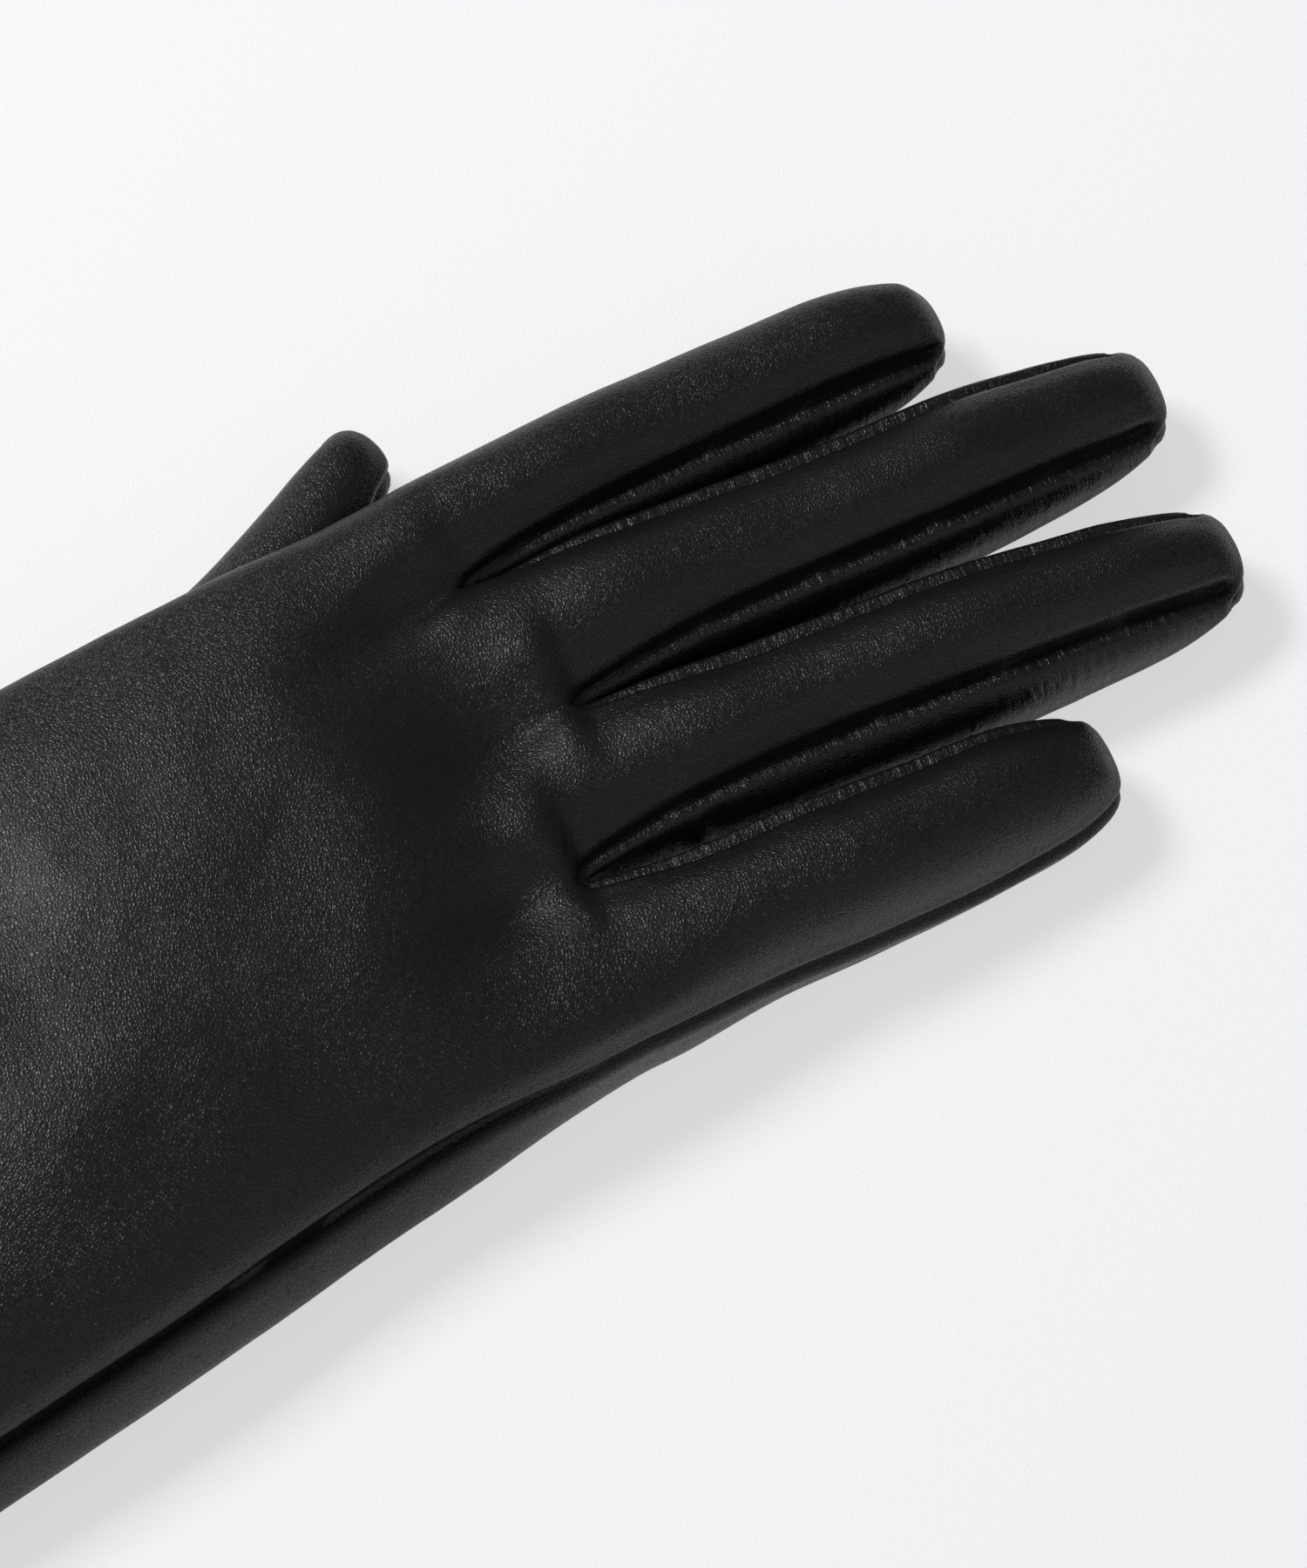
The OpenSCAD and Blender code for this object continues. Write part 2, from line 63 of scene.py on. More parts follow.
LEATHER = 0.8
GROOVE_DEPTH = 0.9
GROOVE_WIDTH = 0.75
LIP_HEIGHT = 0.25
LINING = 0.5
HEM = 14.0
LINING_SPACE = 1.3
THREAD_RADIUS = 0.16
THREAD_DEPTH = 0.35
STITCH_LENGTH = 2.6
STITCH_PITCH = 4.4
STITCH_RADIUS = 0.28
STITCHES_ABOVE = 15.0
LABEL_LENGTH = 12.0
LABEL_WIDTH = 18.0
LABEL_ABOVE = 12.0

# Distance from a crotch to the finger's first bend, as the joints are placed
ROOT_SPLIT = 10.0

# The pattern's grid: columns across the hand, rows from the knuckles to the cuff
FINGER_COLUMNS = 6
HAND_COLUMNS = 4 * FINGER_COLUMNS
SIDE_ROWS = 4
HAND_ROWS = 21

# Rows and columns of the palm that open into the thumb
THUMB_FRONT_ROW = 8
THUMB_BACK_ROW = THUMB_FRONT_ROW + SIDE_ROWS
THUMB = 5
FINGER_CUT = 5

# Where the columns of one finger stand across it, from its +Y seam to its -Y seam
ACROSS = [1.0, 0.85, 0.48, 0.0, -0.48, -0.85, -1.0]


def joint_point(name):
    """A joint's place, in millimetres."""
    return Vector(JOINTS[name]["pos_m"]) / MM


def node_box(name):
    """The low and high corners of a CAD part's box, in millimetres."""
    low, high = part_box(name)
    return Vector(low) / MM, Vector(high) / MM


def smooth(x, low, high):
    """0 up to low, 1 from high on, and an even S-curve between them."""
    t = min(max((x - low) / (high - low), 0.0), 1.0)
    return t * t * (3 - 2 * t)


def mix(a, b, t):
    return a + (b - a) * t


def between(stations, x):
    """Value at x on the straight lines that join (x, value) stations."""
    if x <= stations[0][0]:
        return stations[0][1]
    for (x0, a), (x1, b) in zip(stations, stations[1:]):
        if x <= x1:
            return mix(a, b, (x - x0) / (x1 - x0))
    return stations[-1][1]


# ---- the fingers --------------------------------------------------------------------

# Heights along a finger, as (share of its length, millimetres)
FINGER_TOPS = [(0, 18.9), (0.25, 18.2), (0.6, 17.0), (0.86, 15.6), (1, 14.6)]
FINGER_MIDDLES = [(0, 8.2), (0.6, 7.6), (1, 7.2)]
UPPER_SEAMS = [(0, 14.4), (0.25, 13.6), (0.6, 12.6), (0.8, 11.6), (0.93, 9.8), (1, 8.4)]
LOWER_SEAMS = [(0, 2.2), (0.6, 2.2), (0.8, 3.0), (0.93, 5.4), (1, 7.4)]

# How far the side strips swell towards the neighbouring finger, on its -Y and +Y side
SWELL_LOW = [(0, 0), (0.12, 0.1), (0.4, 0.7), (0.7, 0.7), (0.88, 0.5)]
SWELL_HIGH = [(0, 0), (0.12, 0.1), (0.4, 0.6), (0.7, 0.1), (0.88, 0)]

# Where the tip begins to close, as a share of the length: its -Y side, its +Y side, its height
CLOSE_LOW, CLOSE_HIGH, CLOSE_TOP = 0.82, 0.75, 0.78

# What is left of the half width and of the height at the very tip
TIP_SHARE = 0.22

# Shares of the rest of the finger where the rings of its outer segment stand
FAR_RINGS = [0.13, 0.27, 0.41, 0.55, 0.68, 0.79, 0.88, 0.95]


class Finger:
    """A finger's middle line and widths; its place is read from the joints."""

    def __init__(self, name, tip_node, root_half, middle_half, tip_half, bow, back_low, back_high):
        self.name = name
        axis = Vector(JOINTS[name + "_root_bend"]["axis"])
        self.along = Vector((axis.y, -axis.x, 0))
        self.across = Vector((axis.x, axis.y, 0))
        self.root = joint_point(name + "_root_bend") - self.along * ROOT_SPLIT
        self.second = (joint_point(name + "_middle_bend") - self.root).dot(self.along)
        self.length = (node_box(tip_node)[1].x - self.root.x) / self.along.x
        self.halves = [(0, root_half), (0.3, mix(root_half, middle_half, 0.8)),
                       (0.6, middle_half), (0.86, tip_half), (1, tip_half)]
        self.bow = bow
        self.turn_out = 1.6
        self.back_low, self.back_high = back_low, back_high
        self.folded = name == "index"
        self.last = name == "little"

    def point(self, u, y, z):
        t = min(max(u / self.length, 0), 1)
        bend = self.bow * math.sin(math.pi * t) + self.turn_out * t * t
        p = self.root + self.along * u + self.across * (y + bend)
        return Vector((p.x, p.y, z))

    def rings(self):
        """Distances of the rings from the crotch, closer at the crotch and the tip."""
        cut = 0.5 * (ROOT_SPLIT + self.second)
        near = [2.6, 6.0, 10.5, 0.5 * (10.5 + cut), cut]
        reach = self.length - cut
        far = [cut + reach * t for t in FAR_RINGS]
        return near + far

    def closing(self, t, start):
        """Share of the full width that is left at t, where the last stretch closes like an egg's end."""
        end = max((t - start) / (1 - start), 0.0)
        return math.sqrt(max(1 - (end * 0.92) ** 2, 0))

    def section(self, u, j, r):
        """Place of one pattern point across the finger, before the crotch is shaped."""
        t = u / self.length
        half = between(self.halves, t)
        close = self.closing(t, CLOSE_TOP)
        half *= mix(TIP_SHARE, 1, self.closing(t, CLOSE_HIGH if ACROSS[j] > 0 else CLOSE_LOW))
        top = between(FINGER_TOPS, t)
        middle = between(FINGER_MIDDLES, t)
        top = middle + (top - middle) * mix(TIP_SHARE, 1, close)
        floor = middle * (1 - mix(0.25, 1, close))
        seam = between(UPPER_SEAMS, t)
        low = between(LOWER_SEAMS, t)
        seam = min(seam, top - 1.2)
        a = ACROSS[j]
        side = 1 if a > 0 else -1
        # the back panel is narrower than the palm panel, so the side strips stand outwards
        narrow = self.back_low if side < 0 else self.back_high
        back = half * between([(0, narrow), (0.86, narrow), (0.95, mix(narrow, 1, 0.3)), (1, 0.86)], t)
        # between two fingers the side strips swell until they nearly touch
        swell = 0 if (self.folded and side > 0) or (self.last and side < 0) else 1
        half += swell * between(SWELL_LOW if side < 0 else SWELL_HIGH, t)
        palm = half * 0.93
        if r == 0:
            y, z = back * a, seam + (top - seam) * (1 - abs(a) ** 2.6) ** 0.7
        elif r == SIDE_ROWS:
            y, z = palm * a, floor + (low - floor) * abs(a) ** 5
        else:
            y, z = {1: (mix(back, half, 0.82), seam - 0.5), 2: (half * 1.03, mix(low, seam, 0.52)),
                    3: (half * 1.0, low + 1.3)}[r]
            y *= side
        if self.folded and side > 0 and (abs(a) == 1 or r in (0, SIDE_ROWS)) and a > 0.4:
            y, z = self.round_side(half, floor, top, a, r)
        if self.last and side < 0 and (abs(a) == 1 or r in (0, SIDE_ROWS)) and a < -0.4:
            y, z = self.seamed_side(half, floor, top, a, r, t)
            y = -y
        return y, z

    def round_side(self, half, floor, top, a, r):
        """The outer side without a seam: one even curve from the back to the palm."""
        height = top - floor
        if r == 0:
            turn = {1.0: 38, 0.85: 58, 0.48: 75}[a]
        elif r == SIDE_ROWS:
            turn = {1.0: -42, 0.85: -62, 0.48: -80}[a]
        else:
            turn = {1: 18, 2: -2, 3: -22}[r]
        c, s = math.cos(math.radians(turn)), math.sin(math.radians(turn))
        return half * abs(c) ** 0.8, floor + height * (0.5 + 0.5 * math.copysign(abs(s) ** 0.85, s))

    def seamed_side(self, half, floor, top, a, r, t):
        """The little finger's outer side: one seam, with the palm leather bulging below."""
        height = top - floor
        seam = floor + height * between([(0, 0.58), (0.35, 0.40), (0.7, 0.34), (1, 0.46)], t)
        if r == 0:
            share, z = {-1.0: (0.90, mix(seam, top, 0.45)), -0.85: (0.74, mix(seam, top, 0.78)),
                        -0.48: (0.42, mix(seam, top, 0.97))}[a]
        elif r == SIDE_ROWS:
            share, z = {-1.0: (0.95, floor + 1.6), -0.85: (0.84, floor + 0.35), -0.48: (0.5, floor)}[a]
        else:
            share, z = {1: (0.93, seam + 1.2), 2: (0.93, seam), 3: (1.01, seam - 1.0)}[r]
        return half * (share + between([(0, 0.14), (0.3, 0)], t)), z


INDEX = Finger("index", "index_trank_tip", 8.4, 9.0, 8.4, 1.0, 0.62, 0.8)
MIDDLE = Finger("middle", "middle_palm_tip", 10.6, 9.9, 9.2, 0.4, 0.70, 0.74)
RING = Finger("ring", "ring_palm_tip", 10.6, 9.9, 9.2, 1.3, 0.62, 0.72)
LITTLE = Finger("little", "little_palm_tip", 10.4, 9.4, 8.6, 0.2, 0.8, 0.74)
FINGERS = [INDEX, MIDDLE, RING, LITTLE]


def crotch(upper, lower, shift):
    """The point where two fingers part, a little towards the lower finger."""
    x = max(upper.root.x, lower.root.x) if upper is MIDDLE else min(upper.root.x, lower.root.x)
    y = 0.5 * (upper.root.y - upper.halves[0][1] + lower.root.y + lower.halves[0][1])
    return Vector((x, y - shift))


CROTCHES = [crotch(a, b, d) for a, b, d in zip(FINGERS, FINGERS[1:], (1.2, 0.5, 0.4))]

# Heights of the points where two fingers part, from the back to the palm
CROTCH_ROWS = [14.6, 12.4, 7.2, 2.8, 1.4]

CROTCH_COLUMNS = [FINGER_COLUMNS, 2 * FINGER_COLUMNS, 3 * FINGER_COLUMNS]

# The mound behind each crotch: its height, its shift towards the thumb side,
# the distance of its crest and the length of its slope
CROTCH_MOUNDS = [(0.5, 1.0, 3.6, 6.6), (2.2, 0.4, 3.2, 6.0), (2.5, 2.6, 2.4, 4.8)]

# ---- the hand -----------------------------------------------------------------------

cuff_edge = node_box("trank")[0].x
LEAN = math.tan(math.radians(11))

# Half widths of the hand and heights of its back, as (x, millimetres)
HALF_WIDTHS = [(cuff_edge, 48.5), (-76, 47.2), (-50, 46.0), (-14, 43.6), (20, 41.9), (44, 40.6)]
TOPS = [(cuff_edge, 22.6), (-76, 23.6), (-50, 24.2), (-14, 25.0), (16, 24.4), (34, 21.8), (50, 19.0)]

# The hand's edges from the back to the palm, as (share of the half width, height):
# the folded side by the thumb, and the side with the seam
FOLD_SIDE = [(0.950, 19.0), (0.982, 16.6), (1.0, 13.8), (0.992, 10.6), (0.955, 7.0)]
SEAM_SIDE = [(0.870, 17.4), (0.888, 14.6), (0.888, 13.6), (0.955, 12.6), (1.02, 5.8)]

# Height of the palm leather over the thumb
HAND_TO_THUMB = 14.6

thumb_axis = Vector(JOINTS["thumb_bend"]["axis"])
THUMB_ALONG = Vector((thumb_axis.y, -thumb_axis.x, 0))
THUMB_ACROSS = Vector((thumb_axis.x, thumb_axis.y, 0))
THUMB_HALF = 8.6
THUMB_HEIGHT = 13.6
THUMB_MIDDLE = 6.2
THUMB_ROOT = joint_point("thumb_spread") - THUMB_ACROSS * 8.5
THUMB_SECOND = (joint_point("thumb_bend") - THUMB_ROOT).dot(THUMB_ALONG)
THUMB_LENGTH = 59.0
THUMB_SPLIT = 21


def hand_middle(x):
    """Where the hand's middle line is at x, as a y."""
    return CROTCHES[1].y - 2.9 - (MIDDLE.root.x - x) * LEAN


def thumb_place(x, y):
    """Distances along and across the thumb from its first split."""
    d = Vector((x, y, 0)) - Vector((THUMB_ROOT.x, THUMB_ROOT.y, 0))
    return d.dot(THUMB_ALONG), d.dot(THUMB_ACROSS)


def raised(x, y):
    """How far the palm leather is lifted by the thumb under it."""
    u, side = thumb_place(x, y)
    lift = smooth(u, -12, 1) * smooth(side, -18.4, -8.8)
    return lift * (1 - smooth(x, 34, 48))


def front_x(j):
    """The knuckle line: a line from crotch to crotch across the hand."""
    marks = [(column, c.x) for column, c in zip(CROTCH_COLUMNS, CROTCHES)]
    return between([(0, INDEX.root.x - 1), *marks, (HAND_COLUMNS, LITTLE.root.x - 1)], j)


def front_point(j, r):
    """A pattern point on the knuckle line."""
    f = min(j // FINGER_COLUMNS, 3)
    local = j - f * FINGER_COLUMNS
    finger = FINGERS[f]
    y, z = finger.section(0, local, r)
    place = finger.point(0, y, z)
    if j in CROTCH_COLUMNS:
        c = CROTCHES[CROTCH_COLUMNS.index(j)]
        return Vector((c.x, c.y, CROTCH_ROWS[r]))
    place.x = front_x(j)
    if r == 0 and 0 < j < HAND_COLUMNS:
        spread = 1.12 if abs(ACROSS[local]) < 0.9 else 1
        place.y = finger.point(0, y * spread, z).y
    return place


def hand_point(k, j, r):
    """A pattern point on the hand, k rows behind the knuckle line."""
    start = front_point(j, r)
    v = k / HAND_ROWS
    x = mix(front_x(j), cuff_edge, v)
    half = between(HALF_WIDTHS, x)
    top = between(TOPS, x)
    a = 1 - 2 * j / HAND_COLUMNS
    side = FOLD_SIDE if a > 0 else SEAM_SIDE
    flat = smooth(-x, 60, 104)
    corner_share, corner_z = side[0]
    low_share, low_z = side[SIDE_ROWS]
    if 0 < r < SIDE_ROWS:
        share, z = side[r]
        share *= math.copysign(1, a)
        z = mix(z, z * 0.94, flat)
    elif r == 0:
        share = a * corner_share
        z = top - (top - corner_z) * abs(a) ** 3.2
    else:
        edge = abs(a)
        share = math.copysign(low_share * (1 - (1 - edge) ** 1.05), a)
        z = low_z * smooth(edge, 0.66, 1.08) ** 1.2 * 1.05
    y = hand_middle(x) + half * share
    if r == SIDE_ROWS or (r == 3 and a > 0):
        lift = raised(x, y)
        z = mix(z, max(z, HAND_TO_THUMB), lift)
    if r in (1, 2) and a > 0:
        lift = raised(x, y)
        z = mix(z, max(z, HAND_TO_THUMB + 1.5 * (3 - r)), lift)
    near = 1 - smooth(k / HAND_ROWS * (CROTCHES[1].x - cuff_edge), 0, 34)
    place = Vector((x, y, z))
    y = mix(place.y, start.y - (start.x - x) * LEAN, near)
    return Vector((x, y, mix(place.z, start.z, near ** 1.6)))


def finger_point(finger, ring, j, r):
    """A pattern point on a finger's ring; the first rings grow out of the crotch."""
    u = finger.rings()[ring - 1]
    y, z = finger.section(u, j, r)
    place = finger.point(u, y, z)
    start = front_point(FINGERS.index(finger) * FINGER_COLUMNS + j, r)
    start.x += u
    start.y += u * finger.along.y
    grown = smooth(u, -4, 17)
    x = mix(start.x, place.x, smooth(u, 0, 30))
    return Vector((x, mix(start.y, place.y, grown), mix(start.z, place.z, grown)))


def tip_point(finger, j, r):
    """A point of the cap that closes a finger."""
    corner = finger_point(finger, len(finger.rings()), j, min(max(r, 0), SIDE_ROWS))
    if 0 < r < SIDE_ROWS and 0 < j < FINGER_COLUMNS:
        above = finger_point(finger, len(finger.rings()), j, 0)
        below = finger_point(finger, len(finger.rings()), j, SIDE_ROWS)
        t = r / SIDE_ROWS
        place = above.lerp(below, t)
        swell = math.sin(math.pi * t) * (1 - ACROSS[j] ** 2) ** 0.5
        reach = (finger.length - finger.rings()[-1]) * (0.3 + 0.8 * swell)
        return place + finger.along * reach
    return corner


# ---- the thumb ----------------------------------------------------------------------

# How far the thumb's middle line sways to its outer side, along its length
THUMB_SWAY = [(0, 0), (16, -3.7), (32, -2.2), (45, 0.6), (59, 4.6)]

# Changes of the thumb's half width and height along its length
THUMB_TAPER = [(0, 0.6), (0.3, -0.5), (0.6, -1.0), (1, -2.2)]
THUMB_SLOPE = [(0, 0), (0.7, -0.8), (1, -1.4)]

# The thumb's rings: distance along the thumb, and how far the ring slants back over its height
THUMB_RINGS = [(-13, 20), (-8, 13), (-2.5, 7), (3, 3), (8.5, 0), (14.5, 0), (21, 0), (27, 0), (33, 0),
               (38.5, 0), (44, 0), (49, 0), (53, 0), (56.3, 0)]
THUMB_CUT = 7
GUSSET_RINGS = 3


def thumb_point(ring, j, r):
    """A pattern point on one of the thumb's rings."""
    u, slant = THUMB_RINGS[ring - 1]
    t = max(u, 0) / THUMB_LENGTH
    end = max((t - 0.72) / 0.28, 0.0)
    close = math.sqrt(max(1 - (end * 0.93) ** 2.0, 0))
    half = THUMB_HALF + between(THUMB_TAPER, t)
    half *= mix(0.3, 1, close)
    sway = between(THUMB_SWAY, u)
    top = THUMB_HEIGHT + between(THUMB_SLOPE, t)
    top = THUMB_MIDDLE + (top - THUMB_MIDDLE) * mix(0.25, 1, close)
    floor = THUMB_MIDDLE * (1 - mix(0.25, 1, close))
    a = ACROSS[j]
    side = 1 if a > 0 else -1
    height = top - floor
    seam = floor + height * 0.62
    if r == 0:
        share, z = abs(a) * (0.88 if side > 0 else 0.80), top - height * 0.26 * abs(a) ** 3
    elif r == SIDE_ROWS:
        share, z = abs(a) * 0.9, floor + height * 0.12 * abs(a) ** 4
    elif side < 0:
        share, z = {1: (0.86, seam + 0.9), 2: (0.92, seam), 3: (0.99, seam - 1.6)}[r]
    else:
        share, z = {1: (0.98, floor + 0.6 * height), 2: (1.0, floor + 0.45 * height),
                    3: (0.985, floor + 0.28 * height)}[r]
    along = u + slant * (z / THUMB_HEIGHT - 0.5)
    place = THUMB_ROOT + THUMB_ALONG * along + THUMB_ACROSS * (half * share * side + sway)
    return Vector((place.x, place.y, z))


def thumb_tip_point(j, r):
    """A point of the cap that closes the thumb."""
    ring = len(THUMB_RINGS)
    if 0 < r < SIDE_ROWS and 0 < j < FINGER_COLUMNS:
        t = r / SIDE_ROWS
        place = thumb_point(ring, j, 0).lerp(thumb_point(ring, j, SIDE_ROWS), t)
        swell = math.sin(math.pi * t) * (1 - ACROSS[j] ** 2) ** 0.5
        return place + THUMB_ALONG * 2.6 * (0.35 + 0.75 * swell)
    return thumb_point(ring, j, r)


# ---- the skin: one quilted cage, cut later into its leather pieces ------------------


def build_cage():
    """A grid is extruded back into the hand and forward into each finger."""
    bm = bmesh.new()
    part = bm.verts.layers.int.new("part")
    bmesh.ops.create_grid(bm, x_segments=HAND_COLUMNS, y_segments=SIDE_ROWS, size=0.5)
    for v in bm.verts:
        v.co = Vector((0, round((v.co.x + 0.5) * HAND_COLUMNS), round((0.5 - v.co.y) * SIDE_ROWS)))
    rim = [e for e in bm.edges if e.is_boundary]
    for row in range(HAND_ROWS):
        made = bmesh.ops.extrude_edge_only(bm, edges=rim)["geom"]
        bmesh.ops.translate(bm, vec=(-1, 0, 0), verts=[g for g in made if isinstance(g, bmesh.types.BMVert)])
        rim = [g for g in made if isinstance(g, bmesh.types.BMEdge)]
    for f in range(4):
        low, high = f * FINGER_COLUMNS, (f + 1) * FINGER_COLUMNS
        cap = [face for face in bm.faces if all(v.co.x == 0 for v in face.verts)
               and low < face.calc_center_median().y < high]
        for ring in range(len(FINGERS[f].rings())):
            cap = extrude_cap(bm, cap, (1, 0, 0), part, f + 1)
    cap = [face for face in bm.faces if all(v.co.z == SIDE_ROWS and v[part] == 0 for v in face.verts)
           and -THUMB_BACK_ROW < face.calc_center_median().x < -THUMB_FRONT_ROW
           and face.calc_center_median().y < FINGER_COLUMNS]
    for ring in range(len(THUMB_RINGS)):
        cap = extrude_cap(bm, cap, (0, 0, 1), part, THUMB)
    in_pattern_order(bm, part)
    return bm, part


def in_pattern_order(bm, part):
    """Sorts the cage's points, edges and faces along the pattern, so that each run gives the same order."""
    step = 100  # more than any row, column or ring number
    bm.verts.sort(key=lambda v: ((v[part] * step + v.co.x) * step + v.co.y) * step + v.co.z)
    bm.verts.index_update()
    count = len(bm.verts)

    def position(element):
        numbers = [v.index for v in element.verts]
        return min(numbers) * count + max(numbers)

    bm.edges.sort(key=position)
    bm.faces.sort(key=position)


def extrude_cap(bm, cap, step, part, value):
    """Grows one ring out of a patch of faces and gives back the patch at its end."""
    made = bmesh.ops.extrude_face_region(bm, geom=cap)["geom"]
    verts = [g for g in made if isinstance(g, bmesh.types.BMVert)]
    bmesh.ops.delete(bm, geom=cap, context="FACES")
    bmesh.ops.translate(bm, vec=step, verts=verts)
    for v in verts:
        v[part] = value
    return [g for g in made if isinstance(g, bmesh.types.BMFace)]


def seam_edges(bm, part):
    """Marks the pattern's seams while the points still hold their column, row and ring."""
    for e in bm.edges:
        a, b = (cage_place(v, part) for v in e.verts)
        if a.owner == THUMB or b.owner == THUMB:
            rings = (a.ring, b.ring)
            inner = a.j == b.j == FINGER_COLUMNS and a.r == b.r == 2 and max(rings) > GUSSET_RINGS
            cap = a.r == b.r == 2 and min(rings) == len(THUMB_RINGS)
            e.seam = inner or cap
        elif max(a.ring, b.ring) > 0:
            finger = FINGERS[max(a.owner, b.owner) - 1]
            first = FINGERS.index(finger) * FINGER_COLUMNS
            j = a.j - first
            cap = a.r == b.r == 2 and min(a.ring, b.ring) == len(finger.rings())
            along = a.j == b.j and a.r == b.r and a.ring != b.ring
            low = j == FINGER_COLUMNS and (a.r == 2 if finger.last else a.r in (0, SIDE_ROWS))
            high = j == 0 and not finger.folded and a.r in (0, SIDE_ROWS)
            e.seam = cap or (along and (low or high))
        else:
            e.seam = a.j == b.j == HAND_COLUMNS and a.r == b.r == 2
    for e in bm.edges:
        owners = {max(cage_place(v, part).owner for v in face.verts) for face in e.link_faces}
        if owners == {0, THUMB}:
            e.seam = True


class CagePlace:
    """Where a cage point belongs: its owner, ring (or row behind the knuckles), column and side row."""

    def __init__(self, owner, ring, j, r):
        self.owner, self.ring, self.j, self.r = owner, ring, j, r


def cage_place(v, part):
    """Reads a point's pattern place while the cage is still a flat pattern."""
    k, j, r = (round(n) for n in v.co)
    if v[part] == THUMB:
        return CagePlace(THUMB, r - SIDE_ROWS, j, -THUMB_FRONT_ROW - k)
    return CagePlace(v[part], k, j, r)


def name_faces(bm, part, names):
    """Gives every cage face the number of the leather piece it is cut into."""
    layer = bm.faces.layers.int.new("piece")
    for face in bm.faces:
        name = piece_of([cage_place(v, part) for v in face.verts])
        if name not in names:
            names.append(name)
        face[layer] = names.index(name)


def piece_of(corners):
    """The leather piece that a cage face with these corners belongs to."""
    owner = max(c.owner for c in corners)
    if owner == 0:
        return "trank"
    ring = max(c.ring for c in corners if c.owner == owner)
    if owner == THUMB:
        if ring <= GUSSET_RINGS:
            return "thumb_gusset"
        return "thumb_leather_" + ("base" if ring <= THUMB_CUT else "tip")
    finger = FINGERS[owner - 1]
    rows = [c.r for c in corners]
    columns = {c.j - (owner - 1) * FINGER_COLUMNS for c in corners}
    back = sum(rows) / 4 < 2
    side = "low" if columns == {FINGER_COLUMNS} else "high" if columns == {0} else ""
    seamless = (finger.folded and side == "high") or (finger.last and side == "low")
    if ring == 1:
        if side and not seamless:
            upper = owner - 1 if side == "low" else owner - 2
            return FINGERS[upper].name + "_" + FINGERS[upper + 1].name + "_fork"
        return "trank"
    stage = "base" if ring <= FINGER_CUT else "tip"
    if side and not seamless:
        panel = "fourchette" if finger.folded or finger.last else "fourchettes"
    elif finger.folded:
        panel = "trank"
    else:
        panel = "back" if back else "palm"
    return "_".join((finger.name, panel, stage))


def place_cage(bm, part):
    """Moves every cage point from the flat pattern to its place on the glove."""
    places = {v: cage_place(v, part) for v in bm.verts}
    for v, c in places.items():
        if c.owner == THUMB:
            end = c.ring == len(THUMB_RINGS)
            v.co = thumb_tip_point(c.j, c.r) if end else thumb_point(c.ring, c.j, c.r)
        elif c.owner:
            finger = FINGERS[c.owner - 1]
            j = c.j - (c.owner - 1) * FINGER_COLUMNS
            end = c.ring == len(finger.rings())
            v.co = tip_point(finger, j, c.r) if end else finger_point(finger, c.ring, j, c.r)
        elif c.ring == 0:
            v.co = front_point(c.j, c.r)
        else:
            v.co = hand_point(-c.ring, c.j, c.r)
        v.co *= MM


def to_object(name, bm):
    mesh = bpy.data.meshes.new(name)
    bm.to_mesh(mesh)
    bm.free()
    obj = bpy.data.objects.new(name, mesh)
    bpy.context.collection.objects.link(obj)
    for p in mesh.polygons:
        p.use_smooth = True
    return obj


def applied(obj):
    """A bmesh of the object with its modifiers applied; the object is removed."""
    depsgraph = bpy.context.evaluated_depsgraph_get()
    mesh = bpy.data.meshes.new_from_object(obj.evaluated_get(depsgraph))
    bm = bmesh.new()
    bm.from_mesh(mesh)
    bpy.data.objects.remove(obj)
    bpy.data.meshes.remove(mesh)
    return bm


bm, part = build_cage()
seam_edges(bm, part)
piece_names = []
name_faces(bm, part, piece_names)
place_cage(bm, part)
bmesh.ops.recalc_face_normals(bm, faces=bm.faces)
skin = to_object("skin", bm)
rounding = skin.modifiers.new("rounding", "SUBSURF")
rounding.levels = rounding.render_levels = 2
smooth_skin = applied(skin)
smooth_skin.verts.ensure_lookup_table()


# ---- seams, folds and creases on the whole skin -------------------------------------


def seam_tree(bm):
    """A search tree of points along every seam."""
    points = []
    for e in bm.edges:
        if e.seam:
            a, b = e.verts
            points += [a.co.lerp(b.co, t / 3) for t in range(3)]
    tree = kdtree.KDTree(len(points))
    for n, p in enumerate(points):
        tree.insert(p, n)
    tree.balance()
    return tree


def seam_groove(distance):
    """Depth of the leather at a distance from a seam: a groove between two low lips."""
    groove = GROOVE_DEPTH * math.exp(-(distance / GROOVE_WIDTH) ** 2)
    lip = LIP_HEIGHT * math.exp(-((distance - 1.7) / 0.8) ** 2)
    return lip - groove


def crotch_fold(p):
    """The leather stands up just behind each crotch, with a hollow further back."""
    height = 0
    for n, c in enumerate(CROTCHES):
        dx, dy = c.x - p.x, p.y - c.y
        near = math.hypot(dx, dy)
        if near > 32 or p.z < 11:
            continue
        behind = smooth(dx, -3, 2)
        turn = math.atan2(dy, dx + 3)
        # steep towards the crotch, and a long slope towards the wrist
        mound, shift, crest, slope = CROTCH_MOUNDS[n]
        ridge = smooth(dx, -1, crest) if dx < crest else math.exp(-((dx - crest) / slope) ** 2)
        height += mound * ridge * math.exp(-((dy - shift) / 8.5) ** 2)
        height -= 0.5 * math.exp(-((dx - 19) / 7) ** 2 - (dy / 11) ** 2) * behind
        pleats = math.sin(turn * 8 + c.y) * math.exp(-((near - 4.5) / 3) ** 2)
        height += 0.14 * pleats * behind
    return height


